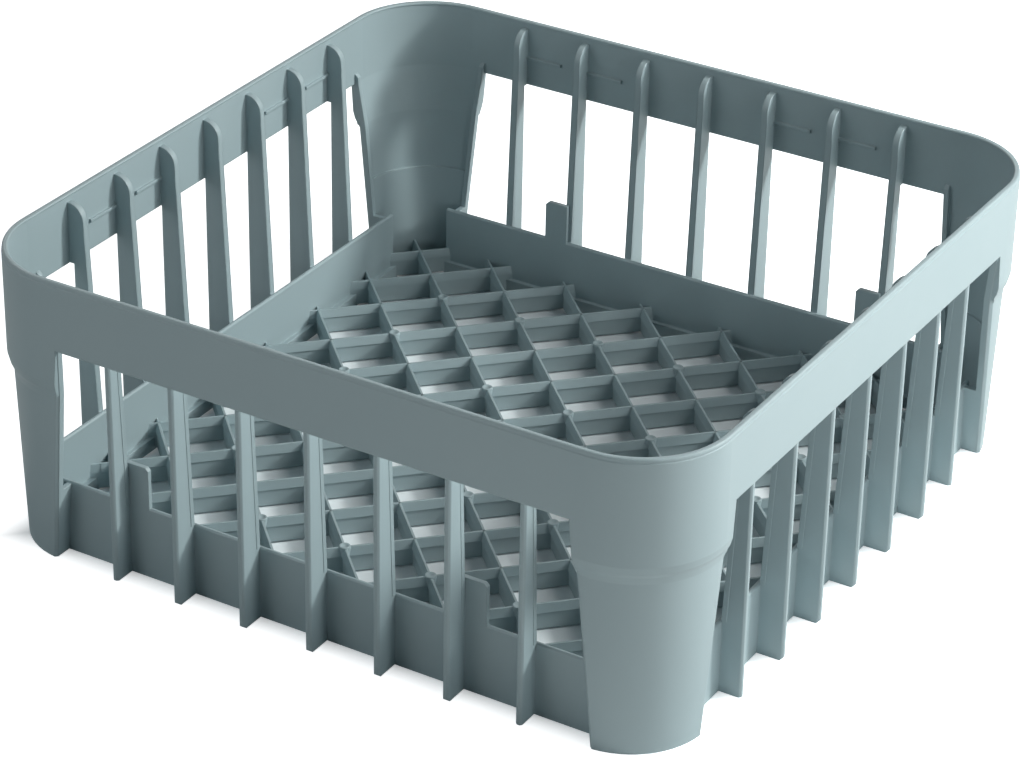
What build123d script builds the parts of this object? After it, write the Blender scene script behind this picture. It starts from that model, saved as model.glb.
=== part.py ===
import os
from math import hypot

from build123d import *

# Glass rack for a dishwasher, one injection moulding.
# Frame: millimetres, +Z up, feet on Z = 0, origin under the centre, walls square to X and Y.
# A wall is drawn once on the +X side as sections in n (outward) and z, with s running along the wall.

# overall sizes
rim_size = 400.0
height = 162.0
corner_radius = 48.0
wall = 2.8
bury = 0.3              # how far one feature runs into the next so that they fuse

# band round the top
band_height = 38.5
rim_inner_edge = 1.0
rim_outer_edge = 0.6
bead_height = 2.2
bead_set = 0.4

# corner posts, from the band's lower edge down to the foot
shoulder_gap = 20.5
shoulder_height = 6.0
shoulder_set = 3.0
shoulder_edge = 2.2
foot_set = 6.0
ledge_height = 61.5
ledge_step = 1.3

# windows between the posts, with a thick edge that ends above the band's lower edge as a knob
window_head_width = 289.0
window_foot_width = 311.0
window_edge_cut = 1.3
edge_width = 2.6
edge_depth = 5.0
knob_height = 6.0
knob_edge = 1.8

# upright slats
slat_count = 7
slat_pitch = 39.16
slat_thickness = 3.5
slat_head_gap = 4.5
slat_head_depth = 9.5
slat_head_round = 9.0
slat_foot_depth = 14.1
slat_foot_edge = 1.6
slat_edge = 1.0
end_slat_set = 2.2

# skirt inside the slats
skirt_height = 40.0
skirt_wall = 2.6
skirt_edge = 0.8
skirt_overhang = 3.0
plinth_height = 7.3
plinth_step = 2.6

# tabs on the skirt and bars on the band, both beside a slat
tab_width = 12.0
tab_rise = 22.8
tab_edge = 1.6
bar_length = 22.0
bar_height = 1.8
bar_depth = 1.3
bar_drop = 22.0

# diamond floor
grid_cells = 7
grid_inset = 0.7
rib_bottom = 1.0
rib_top = 15.1
rib_width = 2.6
rib_crest_width = 1.0
rib_crest_height = 4.8
pad_size = 5.4

# values that follow from those above
half = rim_size / 2
corner_axis = half - corner_radius
band_bottom = height - band_height
band_face = half - wall
shoulder_top = band_bottom - shoulder_gap
shoulder_bottom = shoulder_top - shoulder_height
shoulder_n = half - shoulder_set
foot_n = half - foot_set
slat_face = band_face + bury
skirt_face = slat_face - slat_foot_depth
skirt_back = skirt_face - skirt_wall
skirt_middle = skirt_face - skirt_wall / 2
skirt_half = window_foot_width / 2 + skirt_overhang
plinth_face = skirt_back - plinth_step
slat_places = [(i - (slat_count - 1) / 2) * slat_pitch for i in range(slat_count)]
tab_top = skirt_height + tab_rise
bar_middle = height - bar_drop
pitch = 2 * (plinth_face - grid_inset) / grid_cells
knob_top = band_bottom + knob_height
lean = (window_foot_width - window_head_width) / 2 / band_bottom
root_two = hypot(1, 1)
window_trim_side = window_edge_cut * root_two
slat_trim_side = slat_edge * root_two


def post_n(z):
    # outer face of the post at height z, below the shoulder a straight taper
    return foot_n + (shoulder_n - foot_n) * z / shoulder_bottom


# wall section: rim with a fine bead, shoulder, tapered post with a ledge inside
with BuildPart() as wall_side:
    with BuildSketch(Plane.XZ) as wall_section:
        with BuildLine():
            Polyline(
                (half - bead_set, height),
                (half - bead_set, height - bead_height),
                (half, height - bead_height - bead_set),
                (half, shoulder_top),
                (shoulder_n, shoulder_bottom),
                (foot_n, 0),
                (foot_n - wall - ledge_step, 0),
                (post_n(ledge_height) - wall - ledge_step, ledge_height),
                (post_n(ledge_height) - wall, ledge_height),
                (shoulder_n - wall, shoulder_bottom),
                (band_face, band_bottom),
                (band_face, height),
                close=True,
            )
        make_face()
        rim_points = wall_section.vertices().group_by(Axis.Y)[-1].sort_by(Axis.X)
        chamfer(rim_points[-1], rim_outer_edge)
        chamfer(rim_points[0], rim_inner_edge)
        shoulder_points = wall_section.vertices().filter_by(
            lambda v: shoulder_bottom - bury < v.Y < shoulder_top + bury and v.X > shoulder_n - bury
        )
        chamfer(shoulder_points, shoulder_edge)
    extrude(amount=corner_axis, both=True)
    # the same section turned through the corner
    with BuildSketch(Plane.XZ.offset(-corner_axis)) as corner_section:
        add(wall_section.sketch)
    revolve(axis=Axis((corner_axis, corner_axis, 0), (0, 0, 1)), revolution_arc=90)

# what comes off the outer edges of a window, up its sides to the shoulder and along its head
with BuildPart() as window_trim:
    with BuildSketch(Plane.XY):
        with Locations((foot_n, window_foot_width / 2)):
            Rectangle(window_trim_side, window_trim_side, rotation=45)
    with BuildSketch(Plane.XY.offset(shoulder_bottom)):
        with Locations((shoulder_n, window_foot_width / 2 - lean * shoulder_bottom)):
            Rectangle(window_trim_side, window_trim_side, rotation=45)
    loft()
    mirror(about=Plane.XZ)
    with BuildSketch(Plane.XZ):
        with Locations((half, band_bottom)):
            Rectangle(window_trim_side, window_trim_side, rotation=45)
    extrude(amount=window_head_width / 2, both=True)

# band and posts all round, with one window cut through each pair of facing walls
with BuildPart() as shell:
    with PolarLocations(0, 4):
        add(wall_side.part)
    for window_plane in (Plane.YZ, Plane.XZ):
        with BuildSketch(window_plane):
            with BuildLine():
                Polyline(
                    (-window_foot_width / 2, 0),
                    (-window_head_width / 2, band_bottom),
                    (window_head_width / 2, band_bottom),
                    (window_foot_width / 2, 0),
                    (window_foot_width / 2, -wall),
                    (-window_foot_width / 2, -wall),
                    close=True,
                )
            make_face()
        extrude(amount=rim_size, both=True, mode=Mode.SUBTRACT)
    with PolarLocations(0, 4):
        add(window_trim.part, mode=Mode.SUBTRACT)

# thick window edge: follows the post's inner side, with a web to the skirt and a knob on the band
with BuildPart() as window_edge:
    with BuildSketch(Plane.XZ) as edge_section:
        with BuildLine():
            Polyline(
                (band_face + wall / 2, knob_top),
                (band_face + wall / 2, band_bottom),
                (shoulder_n - wall / 2, shoulder_bottom),
                (foot_n - wall / 2, 0),
                (skirt_middle, 0),
                (skirt_middle, skirt_height - skirt_edge),
                (post_n(skirt_height) - edge_depth, skirt_height - skirt_edge),
                (shoulder_n - edge_depth, shoulder_bottom),
                (half - edge_depth, band_bottom),
                (half - edge_depth, knob_top),
                close=True,
            )
        make_face()
        knob_point = edge_section.vertices().group_by(Axis.Y)[-1].sort_by(Axis.X)[0]
        chamfer(knob_point, knob_edge)
    extrude(amount=half, both=True)
    # keep the strip that leans with the window edge, on both sides of the window
    with BuildSketch(Plane.YZ) as edge_strip:
        with BuildLine():
            Polyline(
                (window_foot_width / 2 - bury, 0),
                (window_foot_width / 2 - bury - lean * knob_top, knob_top),
                (window_foot_width / 2 + edge_width - lean * knob_top, knob_top),
                (window_foot_width / 2 + edge_width, 0),
                close=True,
            )
        make_face()
        mirror(about=Plane.YZ)
    extrude(amount=rim_size, mode=Mode.INTERSECT)

# what comes off the two outer edges of a slat below the band: squares turned on their corners
with BuildPart() as slat_trim:
    with BuildSketch():
        with Locations((slat_face, slat_thickness / 2), (slat_face, -slat_thickness / 2)):
            Rectangle(slat_trim_side, slat_trim_side, rotation=45)
    extrude(amount=band_bottom)

# slat: flush with the band's inner face, rounded head, inner edge leaning down to the skirt
slat_head = height - slat_head_gap
with BuildPart() as slat:
    with BuildSketch(Plane.XZ) as slat_section:
        with BuildLine():
            Polyline(
                (slat_face, 0),
                (slat_face, slat_head),
                (slat_face - slat_head_depth, slat_head),
                (skirt_face - bury, skirt_height),
                (skirt_middle, skirt_height - skirt_wall),
                (skirt_middle, 0),
                close=True,
            )
        make_face()
        fillet(slat_section.vertices().group_by(Axis.Y)[-1].sort_by(Axis.X)[0], slat_head_round)
        chamfer(slat_section.vertices().group_by(Axis.Y)[0].sort_by(Axis.X)[-1], slat_foot_edge)
    extrude(amount=slat_thickness / 2, both=True)
    add(slat_trim.part, mode=Mode.SUBTRACT)

# the slat at each end of a wall is set in below the band
with BuildPart() as end_slat:
    add(slat.part)
    with BuildSketch(Plane.XZ):
        with BuildLine():
            Polyline(
                (slat_face - end_slat_set, -bury),
                (slat_face - end_slat_set, band_bottom),
                (slat_face + wall, band_bottom),
                (slat_face + wall, -bury),
                close=True,
            )
        make_face()
    extrude(amount=slat_thickness, both=True, mode=Mode.SUBTRACT)
    with Locations((-end_slat_set, 0, 0)):
        add(slat_trim.part, mode=Mode.SUBTRACT)

# skirt with a plinth along its inner foot
with BuildPart() as skirt:
    with BuildSketch(Plane.XZ) as skirt_section:
        with BuildLine():
            Polyline(
                (skirt_face, 0),
                (skirt_face, skirt_height),
                (skirt_back, skirt_height),
                (skirt_back, plinth_height),
                (plinth_face, plinth_height),
                (plinth_face, 0),
                close=True,
            )
        make_face()
        chamfer(skirt_section.vertices().group_by(Axis.Y)[-1], skirt_edge)
    extrude(amount=skirt_half, both=True)

# tab standing on the skirt beside a slat, on its +s side
with BuildPart() as tab:
    with BuildSketch(Plane.YZ.offset(skirt_back)) as tab_outline:
        with Locations((0, skirt_height - skirt_wall)):
            Rectangle(
                slat_thickness / 2 + tab_width,
                tab_rise + skirt_wall,
                align=(Align.MIN, Align.MIN),
            )
        chamfer(tab_outline.vertices().group_by(Axis.Y)[-1].sort_by(Axis.X)[-1], tab_edge)
    extrude(amount=skirt_wall)

# bar on the band's inner face beside a slat, on its +s side
with BuildPart() as bar:
    with BuildSketch(Plane.XZ):
        with BuildLine():
            Polyline(
                (slat_face, bar_middle + bar_height / 2),
                (band_face - bar_depth, bar_middle + bar_height / 2),
                (band_face - bar_depth, bar_middle - bar_height / 2),
                (slat_face, bar_middle - bar_height / 2),
                close=True,
            )
        make_face()
    extrude(amount=-(slat_thickness / 2 + bar_length))
bar_mirrored = bar.part.mirror(Plane.XZ)

# diamond floor: two sets of tapered ribs, trimmed to the skirts and the corner posts
grid_range = range(2 - grid_cells, grid_cells - 1)
last_line = skirt_middle + skirt_half - rib_width
middle_line = (last_line + (grid_cells - 2) * pitch) / 2
half_lines = [last_line, middle_line]
rib_lines = [i * pitch for i in grid_range] + half_lines + [-v for v in half_lines]
with BuildPart() as floor:
    for across in ((1, 1, 0), (1, -1, 0)):
        along = (across[1], -across[0], 0)
        with BuildSketch(Plane(origin=(0, 0, 0), x_dir=across, z_dir=along)):
            for line in rib_lines:
                with BuildLine():
                    Polyline(
                        (line / root_two - rib_width / 2, rib_bottom),
                        (line / root_two - rib_width / 2, rib_top - rib_crest_height),
                        (line / root_two - rib_crest_width / 2, rib_top),
                        (line / root_two + rib_crest_width / 2, rib_top),
                        (line / root_two + rib_width / 2, rib_top - rib_crest_height),
                        (line / root_two + rib_width / 2, rib_bottom),
                        close=True,
                    )
                make_face()
        extrude(amount=rim_size, both=True)
    # pads level with the crests, on a ring of crossings and on the middle nine
    ring = [i - (grid_cells - 2) / 2 for i in range(grid_cells - 1)]
    ring_pads = [(a, b) for a in ring for b in ring if max(abs(a), abs(b)) == ring[-1]]
    middle_pads = [(a, b) for a in (-1, 0, 1) for b in (-1, 0, 1)]
    with BuildSketch(Plane.XY.offset(rib_top)):
        with Locations([(a * pitch, b * pitch) for a, b in ring_pads + middle_pads]):
            Rectangle(pad_size, pad_size)
    extrude(amount=-rib_crest_height)
    post_middle = foot_n - wall / 2
    with BuildSketch():
        RectangleRounded(2 * post_middle, 2 * post_middle, post_middle - corner_axis)
        with PolarLocations(half + skirt_middle, 4):
            Rectangle(2 * half, 2 * skirt_half, mode=Mode.SUBTRACT)
    extrude(amount=height, mode=Mode.INTERSECT)

# everything in one moulding
with BuildPart() as glass_rack:
    add(shell.part)
    with PolarLocations(0, 4):
        add([skirt.part, window_edge.part])
        with Locations([(0, s, 0) for s in slat_places[1:-1]]):
            add(slat.part)
        with Locations([(0, s, 0) for s in (slat_places[0], slat_places[-1])]):
            add(end_slat.part)
    add(floor.part)
    with PolarLocations(0, 2, start_angle=90):
        with Locations([(0, s, 0) for s in (slat_places[0], slat_places[-2])]):
            add(tab.part)
    # bars on facing walls match, and those on the next pair of walls are mirrored
    with PolarLocations(0, 2):
        with Locations([(0, s, 0) for s in slat_places[:2] + slat_places[-3:-1]]):
            add(bar.part)
    with PolarLocations(0, 2, start_angle=90):
        with Locations([(0, s, 0) for s in slat_places[1:3] + slat_places[-2:]]):
            add(bar_mirrored)

glass_rack.part.label = "glass_rack"
print("solids", len(glass_rack.part.solids()), "volume", glass_rack.part.volume)
os.makedirs("parts", exist_ok=True)
export_step(glass_rack.part, "parts/glass_rack.step")
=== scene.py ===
from math import radians

import bmesh
import bpy
import numpy as np
from mathutils import Matrix, Vector


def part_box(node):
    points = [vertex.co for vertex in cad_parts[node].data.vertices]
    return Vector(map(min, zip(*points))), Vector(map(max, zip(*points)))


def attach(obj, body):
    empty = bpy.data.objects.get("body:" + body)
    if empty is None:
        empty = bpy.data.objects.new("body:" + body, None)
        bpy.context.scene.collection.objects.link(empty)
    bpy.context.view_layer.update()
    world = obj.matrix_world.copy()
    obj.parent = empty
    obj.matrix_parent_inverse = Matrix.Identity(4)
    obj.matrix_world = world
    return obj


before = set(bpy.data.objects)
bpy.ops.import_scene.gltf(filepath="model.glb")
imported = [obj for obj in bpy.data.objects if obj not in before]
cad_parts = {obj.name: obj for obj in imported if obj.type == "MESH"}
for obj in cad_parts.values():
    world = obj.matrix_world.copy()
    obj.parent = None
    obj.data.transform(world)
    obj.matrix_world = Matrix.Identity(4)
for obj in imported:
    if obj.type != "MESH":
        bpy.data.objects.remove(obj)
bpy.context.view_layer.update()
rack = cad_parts["glass_rack"]
rackLow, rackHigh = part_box("glass_rack")
print("frame loaded, rack", [round(v, 4) for v in rackHigh - rackLow])


# node trees: a node with its settings, and values or links into its sockets; n0, n1 and so on are sockets by number
def addNode(tree, kind, settings=None, **sockets):
    node = tree.nodes.new(kind)
    for name, value in (settings or {}).items():
        setattr(node, name, value)
    for name, value in sockets.items():
        setSocket(tree, node, name, value)
    return node


def setSocket(tree, node, name, value):
    key = int(name[1:]) if name[0] == "n" and name[1:].isdigit() else name.replace("_", " ")
    if isinstance(value, bpy.types.NodeSocket):
        tree.links.new(value, node.inputs[key])
    else:
        node.inputs[key].default_value = value


def newMaterial(name):
    material = bpy.data.materials.new(name)
    material.use_nodes = True
    tree = material.node_tree
    tree.nodes.clear()
    return material, tree


# satin polypropylene: cool grey-blue with slow clouds from the melt and the fine grain of the mould
plastic = {
    "colour": (0.353, 0.450, 0.478, 1.0),
    "cloudColour": (0.331, 0.430, 0.462, 1.0),
    "cloudScale": 14.0,
    "cloudDetail": 3.0,
    "cloudRoughness": 0.55,
    "grainScale": 1500.0,
    "grainDetail": 2.0,
    "grainDepth": 0.00004,
    "grainStrength": 0.5,
    "roughness": (0.36, 0.46),
    "ior": 1.49,
    "bodyEdge": 0.0009,     # edge rounding on the moulding, on its fine raised lines and on the rim
    "fineEdge": 0.0002,
    "rollEdge": 0.0013,
    "edgeSamples": 8,
}


def makeSkinGroup():
    group = bpy.data.node_groups.new("mouldedSkin", "ShaderNodeTree")
    sockets = (
        ("INPUT", "Place", "NodeSocketVector"),
        ("INPUT", "Cloud Scale", "NodeSocketFloat"),
        ("INPUT", "Grain Scale", "NodeSocketFloat"),
        ("INPUT", "Colour", "NodeSocketColor"),
        ("INPUT", "Cloud Colour", "NodeSocketColor"),
        ("OUTPUT", "Colour", "NodeSocketColor"),
        ("OUTPUT", "Clouds", "NodeSocketFloat"),
        ("OUTPUT", "Grain", "NodeSocketFloat"),
    )
    for way, name, kind in sockets:
        group.interface.new_socket(name, in_out=way, socket_type=kind)
    given = group.nodes.new("NodeGroupInput").outputs
    clouds = addNode(group, "ShaderNodeTexNoise", Vector=given["Place"], Scale=given["Cloud Scale"],
                     Detail=plastic["cloudDetail"], Roughness=plastic["cloudRoughness"])
    grain = addNode(group, "ShaderNodeTexNoise", Vector=given["Place"], Scale=given["Grain Scale"],
                    Detail=plastic["grainDetail"])
    colour = addNode(group, "ShaderNodeMix", {"data_type": "RGBA"}, n0=clouds.outputs["Fac"], n6=given["Colour"],
                     n7=given["Cloud Colour"])
    addNode(group, "NodeGroupOutput", Colour=colour.outputs[2], Clouds=clouds.outputs["Fac"],
            Grain=grain.outputs["Fac"])
    return group


def makePlastic(name, group, edge):
    material, tree = newMaterial(name)
    place = addNode(tree, "ShaderNodeTexCoord").outputs["Object"]
    skin = addNode(tree, "ShaderNodeGroup", {"node_tree": group}, Place=place, Cloud_Scale=plastic["cloudScale"],
                   Grain_Scale=plastic["grainScale"], Colour=plastic["colour"], Cloud_Colour=plastic["cloudColour"])
    low, high = plastic["roughness"]
    rough = addNode(tree, "ShaderNodeMapRange", Value=skin.outputs["Clouds"], To_Min=low, To_Max=high)
    softEdge = addNode(tree, "ShaderNodeBevel", {"samples": plastic["edgeSamples"]}, Radius=edge)
    bump = addNode(tree, "ShaderNodeBump", Height=skin.outputs["Grain"], Distance=plastic["grainDepth"],
                   Strength=plastic["grainStrength"], Normal=softEdge.outputs["Normal"])
    shader = addNode(tree, "ShaderNodeBsdfPrincipled", Base_Color=skin.outputs["Colour"],
                     Roughness=rough.outputs["Result"], Normal=bump.outputs["Normal"], IOR=plastic["ior"])
    addNode(tree, "ShaderNodeOutputMaterial", Surface=shader.outputs["BSDF"])
    return material


skinGroup = makeSkinGroup()
bodyPlastic = makePlastic("rackPlastic", skinGroup, plastic["bodyEdge"])
finePlastic = makePlastic("finePlastic", skinGroup, plastic["fineEdge"])
rollPlastic = makePlastic("rollPlastic", skinGroup, plastic["rollEdge"])
rack.data.materials.clear()
rack.data.materials.append(bodyPlastic)
print("plastic on the rack")

mergeDistance = 1e-7


# points: patches, rows, columns, xyz; each patch becomes a sheet of quads, joined round where a direction is closed
def meshPiece(name, points, material, closedRows=False, closedColumns=False, smooth=False):
    patches, rows, columns = points.shape[:3]
    index = np.arange(patches * rows * columns).reshape(patches, rows, columns)
    if closedRows:
        index = np.concatenate([index, index[:, :1]], axis=1)
    if closedColumns:
        index = np.concatenate([index, index[:, :, :1]], axis=2)
    quads = np.stack([index[:, :-1, :-1], index[:, :-1, 1:], index[:, 1:, 1:], index[:, 1:, :-1]], axis=-1)
    mesh = bpy.data.meshes.new(name)
    mesh.from_pydata(points.reshape(-1, 3).tolist(), [], quads.reshape(-1, 4).tolist())
    shape = bmesh.new()     # points that meet, as at a stud's middle, become one
    shape.from_mesh(mesh)
    bmesh.ops.remove_doubles(shape, verts=shape.verts, dist=mergeDistance)
    shape.to_mesh(mesh)
    shape.free()
    mesh.polygons.foreach_set("use_smooth", np.full(len(mesh.polygons), smooth))
    mesh.materials.append(material)
    obj = bpy.data.objects.new(name, mesh)
    bpy.context.scene.collection.objects.link(obj)
    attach(obj, "root")


# a wall's own directions to the rack's: out of the wall, along it and up, turned by quarter turns to each of the four
def placeOnWalls(out, along, up):
    quarter = (np.arange(4) * np.pi / 2).reshape((4,) + (1,) * out.ndim)
    x = out * np.cos(quarter) - along * np.sin(quarter)
    y = out * np.sin(quarter) + along * np.cos(quarter)
    return np.stack([x, y, np.broadcast_to(up, x.shape)], axis=-1)


# cheeks: the raised strip down the inner edge of each slat side, from under the head to the top of the skirt
cheek = {
    "slatCount": 7,
    "slatPitch": 0.03916,
    "slatThickness": 0.0035,
    "foot": (0.1831, 0.0400),       # inner edge of a slat: out from the middle, height
    "head": (0.1880, 0.1575),
    "top": 0.1475,
    "fade": 0.006,
    "width": 0.0027,
    "rise": 0.00028,
    "lip": 0.00014,
    "buried": 0.0002,
}


# a flat profile with a bevelled outer lip, carried up the leaning edge:
# out = edge at that height + across, along = slat side + lift, and both ends sink into the slat
def makeCheeks():
    footOut, footUp = cheek["foot"]
    headOut, headUp = cheek["head"]
    wide, rise, lip, buried = cheek["width"], cheek["rise"], cheek["lip"], cheek["buried"]
    across = np.array([0, 0, wide - lip, wide, wide])
    lift = np.array([-buried, rise, rise, rise - lip, -buried])
    up = np.array([footUp, footUp, cheek["top"] - cheek["fade"], cheek["top"]])
    shown = np.array([0, 1, 1, 0])[:, None]
    lift = shown * lift - (1 - shown) * buried
    out = footOut + (headOut - footOut) * (up - footUp)[:, None] / (headUp - footUp) + across
    slats = (np.arange(cheek["slatCount"]) - (cheek["slatCount"] - 1) / 2) * cheek["slatPitch"]
    patches = []
    for side in (-1, 1):
        along = slats[:, None, None] + side * (cheek["slatThickness"] / 2 + lift)
        points = placeOnWalls(np.broadcast_to(out, along.shape), along, np.broadcast_to(up[:, None], along.shape))
        patches.append(points[..., ::-side, :].reshape((-1,) + points.shape[-3:]))
    meshPiece("slat_cheeks", np.concatenate(patches), finePlastic)


makeCheeks()
print("cheeks on the slats")

# floor: diagonal ribs, whose crossings are a pitch apart along the walls
floorGrid = {"pitch": 0.050714, "cells": 7}

# nubs: low round studs on the pads of the floor, where the glasses stand
nub = {
    "middle": (-1, 0, 1),       # rows of the inner studs, in pitches
    "radius": 0.0030,
    "padTop": 0.0151,
    "rise": 0.0007,
    "edge": 0.0004,
    "edgeSteps": 5,
    "lipRadius": 0.0019,
    "hollowRadius": 0.0016,
    "hollowDepth": 0.0004,
    "root": 0.0016,
    "turns": 24,
}


# a turned profile with a raised lip round a hollow: radius and height against the row, swept round the stud's axis
def makeNubs():
    ring = np.arange(floorGrid["cells"] - 1) - (floorGrid["cells"] - 2) / 2
    ringX, ringY = (v.ravel() for v in np.meshgrid(ring, ring))
    outer = np.maximum(abs(ringX), abs(ringY)) == ring[-1]
    midX, midY = (v.ravel() for v in np.meshgrid(nub["middle"], nub["middle"]))
    spotX = np.concatenate([ringX[outer], midX]) * floorGrid["pitch"]
    spotY = np.concatenate([ringY[outer], midY]) * floorGrid["pitch"]
    top = nub["padTop"] + nub["rise"]
    bottom = top - nub["root"]
    hollow = top - nub["hollowDepth"]
    bend = np.linspace(0, np.pi / 2, nub["edgeSteps"])
    edgeReach = nub["radius"] - nub["edge"] * (1 - np.cos(bend))
    edgeLevel = top - nub["edge"] * (1 - np.sin(bend))
    reach = np.concatenate([[nub["radius"]], edgeReach, [nub["lipRadius"], nub["hollowRadius"], 0.0]])
    level = np.concatenate([[bottom], edgeLevel, [top, hollow, hollow]])
    turn = np.linspace(0, 2 * np.pi, nub["turns"], endpoint=False)
    x = spotX[:, None, None] + reach[:, None] * np.cos(turn)
    y = spotY[:, None, None] + reach[:, None] * np.sin(turn)
    z = np.broadcast_to(level[:, None], x.shape)
    meshPiece("floor_nubs", np.stack([x, y, z], axis=-1), finePlastic, closedColumns=True, smooth=True)


makeNubs()
print("nubs on the floor")

# crests: the wider tapered top of each floor rib, with a fine step under it
crest = {
    "lines": 5,             # ribs on each side of the middle one
    "reach": 0.1775,        # walls, out from the middle
    "longest": 0.245,       # half length of the ribs that end in the corner posts
    "top": 0.01514,
    "topHalf": 0.00055,
    "drop": 0.0048,
    "stepHalf": 0.0019,
    "rootHalf": 0.0012,
    "stepDrop": 0.0004,
}


# a roof profile carried along each diagonal line: place = line across + half width, and the height falls from the top
# to the step and under it
def makeCrests():
    halves = np.array([crest["topHalf"], crest["stepHalf"], crest["rootHalf"]])
    drops = np.array([0, crest["drop"], crest["drop"] + crest["stepDrop"]])
    wide = np.concatenate([-halves[::-1], halves])
    level = crest["top"] - np.concatenate([drops[::-1], drops])
    lines = np.arange(-crest["lines"], crest["lines"] + 1) * floorGrid["pitch"] / np.sqrt(2)
    ends = np.minimum(crest["reach"] * np.sqrt(2) - abs(lines), crest["longest"])
    along = (ends[:, None] * np.array([-1, 1]))[:, :, None]
    across = (lines[:, None] + wide)[:, None, :]
    patches = []
    for turn in (np.pi / 4, -np.pi / 4):
        x = along * np.cos(turn) + across * np.sin(turn)
        y = along * np.sin(turn) - across * np.cos(turn)
        patches.append(np.stack([x, y, np.broadcast_to(level, x.shape)], axis=-1))
    meshPiece("rib_crests", np.concatenate(patches), finePlastic)


makeCrests()
print("crests on the ribs")

# rim roll: the rounded lip round the top of the band, inside and outside the flat of the rim
# its section is given as (out, up), and dips under the flat between its two halves
rimRoll = {
    "half": 0.2000,
    "cornerRadius": 0.048,
    "cornerSteps": 32,
    "inner": ((0.19725, 0.1600), (0.19680, 0.1605), (0.19665, 0.1611), (0.19680, 0.16160), (0.19720, 0.16190),
              (0.19825, 0.161985)),
    "dip": (0.19860, 0.1617),
    "outer": ((0.19905, 0.161985), (0.19940, 0.16182), (0.19963, 0.16150), (0.19970, 0.1611), (0.19972, 0.1605),
              (0.19970, 0.1600), (0.19955, 0.15985)),
}


# the section carried round a rounded square: corner's centre + (out - half side + corner radius) * (cos, sin)
def makeRimRoll():
    section = np.concatenate([rimRoll["inner"], [rimRoll["dip"]], rimRoll["outer"]])
    quarter = np.arange(4)[:, None] * np.pi / 2
    turn = (quarter + np.linspace(0, np.pi / 2, rimRoll["cornerSteps"])).ravel()[:, None]
    centre = rimRoll["half"] - rimRoll["cornerRadius"]
    centreTurn = (quarter + np.pi / 4 + np.zeros(rimRoll["cornerSteps"])).ravel()[:, None]
    reach = section[:, 0] - centre
    x = centre * np.sqrt(2) * np.cos(centreTurn) + reach * np.cos(turn)
    y = centre * np.sqrt(2) * np.sin(centreTurn) + reach * np.sin(turn)
    points = np.stack([x, y, np.broadcast_to(section[:, 1], x.shape)], axis=-1)
    meshPiece("rim_roll", points[None], rollPlastic, closedRows=True)


makeRimRoll()
print("roll round the rim")

# table: pale under the rack, with its shadow; past the footprint it glows to the background's white for the camera
table = {
    "halfSize": 6.0,
    "seenColour": (0.88, 0.94, 0.97, 1.0),
    "bounceColour": (0.85, 0.85, 0.85, 1.0),
    "glowStart": 0.172,
    "glowEnd": 0.200,
}
white = (1.0, 1.0, 1.0, 1.0)


def makeTable():
    size = table["halfSize"]
    mesh = bpy.data.meshes.new("table")
    mesh.from_pydata([(-size, -size, 0), (size, -size, 0), (size, size, 0), (-size, size, 0)], [], [(0, 1, 2, 3)])
    obj = bpy.data.objects.new("table", mesh)
    bpy.context.scene.collection.objects.link(obj)
    material, tree = newMaterial("tableWhite")
    light = addNode(tree, "ShaderNodeLightPath")
    place = addNode(tree, "ShaderNodeTexCoord").outputs["Object"]
    split = addNode(tree, "ShaderNodeSeparateXYZ", Vector=place)
    # square distance from the middle: the larger of |x| and |y|
    absX = addNode(tree, "ShaderNodeMath", {"operation": "ABSOLUTE"}, n0=split.outputs["X"])
    absY = addNode(tree, "ShaderNodeMath", {"operation": "ABSOLUTE"}, n0=split.outputs["Y"])
    reach = addNode(tree, "ShaderNodeMath", {"operation": "MAXIMUM"}, n0=absX.outputs[0], n1=absY.outputs[0])
    glow = addNode(tree, "ShaderNodeMapRange", {"interpolation_type": "SMOOTHSTEP"}, Value=reach.outputs[0],
                   From_Min=table["glowStart"], From_Max=table["glowEnd"])
    seenGlow = addNode(tree, "ShaderNodeMath", {"operation": "MULTIPLY"}, n0=glow.outputs["Result"],
                       n1=light.outputs["Is Camera Ray"])
    colour = addNode(tree, "ShaderNodeMix", {"data_type": "RGBA"}, n0=light.outputs["Is Camera Ray"],
                     n6=table["bounceColour"], n7=table["seenColour"])
    matt = addNode(tree, "ShaderNodeBsdfDiffuse", Color=colour.outputs[2])
    shine = addNode(tree, "ShaderNodeEmission", Color=white, Strength=seenGlow.outputs[0])
    both = addNode(tree, "ShaderNodeAddShader", n0=matt.outputs["BSDF"], n1=shine.outputs["Emission"])
    addNode(tree, "ShaderNodeOutputMaterial", Surface=both.outputs["Shader"])
    mesh.materials.append(material)


makeTable()
print("table laid")

# white room for the camera and for reflections, a low even light for everything else
room = {"fill": 0.03, "fillColour": (0.94, 0.98, 1.0, 1.0)}


def makeRoom():
    world = bpy.data.worlds.new("room")
    world.use_nodes = True
    tree = world.node_tree
    tree.nodes.clear()
    light = addNode(tree, "ShaderNodeLightPath")
    seen = addNode(tree, "ShaderNodeMath", {"operation": "MAXIMUM"}, n0=light.outputs["Is Camera Ray"],
                   n1=light.outputs["Is Glossy Ray"])
    seenThrough = addNode(tree, "ShaderNodeMath", {"operation": "MAXIMUM"}, n0=seen.outputs[0],
                          n1=light.outputs["Is Transmission Ray"])
    fill = addNode(tree, "ShaderNodeBackground", Color=room["fillColour"], Strength=room["fill"])
    backdrop = addNode(tree, "ShaderNodeBackground", Color=white, Strength=1.0)
    mix = addNode(tree, "ShaderNodeMixShader", n0=seenThrough.outputs[0], n1=fill.outputs["Background"],
                  n2=backdrop.outputs["Background"])
    addNode(tree, "ShaderNodeOutputWorld", Surface=mix.outputs["Shader"])
    bpy.context.scene.world = world


makeRoom()
print("room set")

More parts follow.
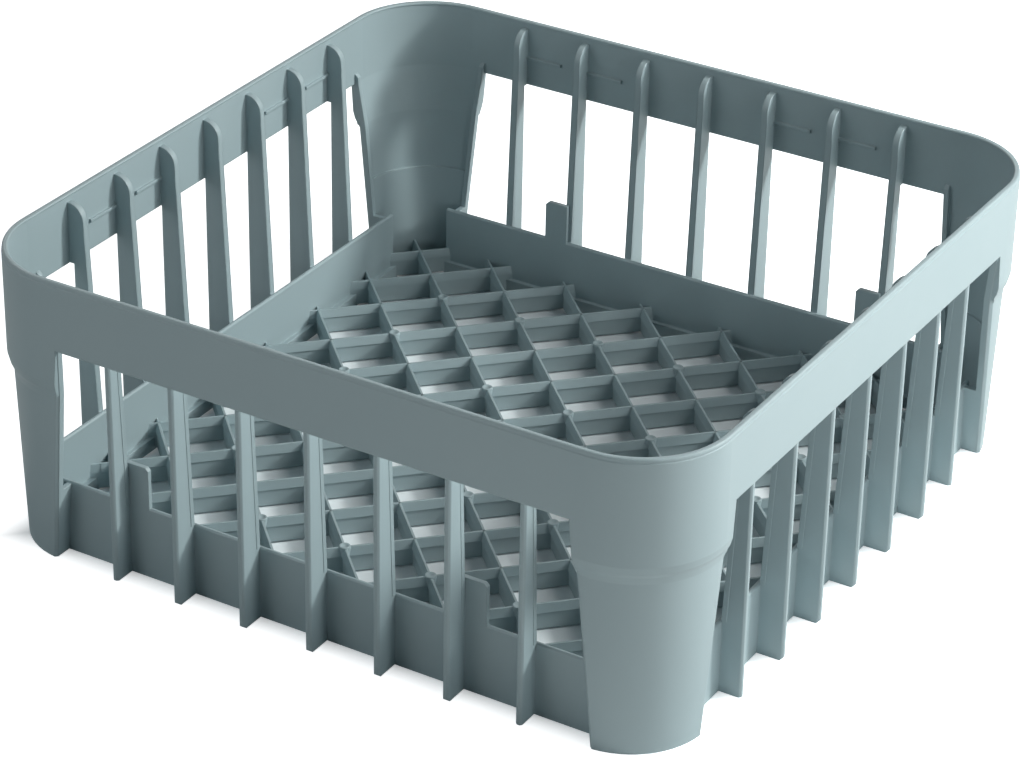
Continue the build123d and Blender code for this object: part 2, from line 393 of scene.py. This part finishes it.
# key lamp above and a little behind the right wall with a wide panel by it, a low lamp for the near corner
# and a panel on the shaded side
lamps = {
    "key": {
        "towards": (0.740, 0.420, 0.525), "distance": 1.5, "size": 0.22,
        "power": 14.3, "colour": (1.0, 1.0, 0.965),
    },
    "panel": {
        "towards": (0.710, 0.220, 0.670), "distance": 1.5, "size": 1.0,
        "power": 12.0, "colour": (1.0, 1.0, 0.975),
    },
    "low": {
        "towards": (0.930, -0.350, 0.060), "distance": 1.6, "size": 0.3,
        "power": 3.2, "colour": (0.97, 1.0, 1.0),
    },
    "fill": {
        "towards": (-0.60, -0.74, 0.30), "distance": 2.0, "size": 1.9,
        "power": 9.3, "colour": (0.95, 0.99, 1.0),
    },
}


def makeLamp(name, spec):
    lamp = bpy.data.lights.new(name, "AREA")
    lamp.shape = "DISK"
    lamp.size = spec["size"]
    lamp.energy = spec["power"]
    lamp.color = spec["colour"]
    obj = bpy.data.objects.new(name, lamp)
    bpy.context.scene.collection.objects.link(obj)
    aim = Vector((0, 0, rackHigh.z / 2))
    away = Vector(spec["towards"]).normalized()
    turn = away.to_track_quat("Z", "Y").to_matrix().to_4x4()
    obj.matrix_world = Matrix.Translation(aim + away * spec["distance"]) @ turn


for lampName, lampSpec in lamps.items():
    makeLamp(lampName, lampSpec)
print("lamps set")

# the photograph's view
view = {
    "place": (0.8151, -1.3849, 0.9511),
    "target": (0.0176, -0.0383, 0.0810),
    "roll": 1.11,
    "lens": 124.7,
    "sensor": 36.0,
    "farEnd": 50.0,
}


def makeCamera():
    camera = bpy.data.cameras.new("view")
    camera.sensor_fit = "HORIZONTAL"
    camera.sensor_width = view["sensor"]
    camera.lens = view["lens"]
    camera.clip_end = view["farEnd"]
    obj = bpy.data.objects.new("view", camera)
    bpy.context.scene.collection.objects.link(obj)
    place = Vector(view["place"])
    turn = (Vector(view["target"]) - place).to_track_quat("-Z", "Y").to_matrix().to_4x4()
    obj.matrix_world = Matrix.Translation(place) @ turn @ Matrix.Rotation(radians(view["roll"]), 4, "Z")
    bpy.context.scene.camera = obj


makeCamera()
bpy.context.scene.view_settings.view_transform = "Standard"
print("camera set")
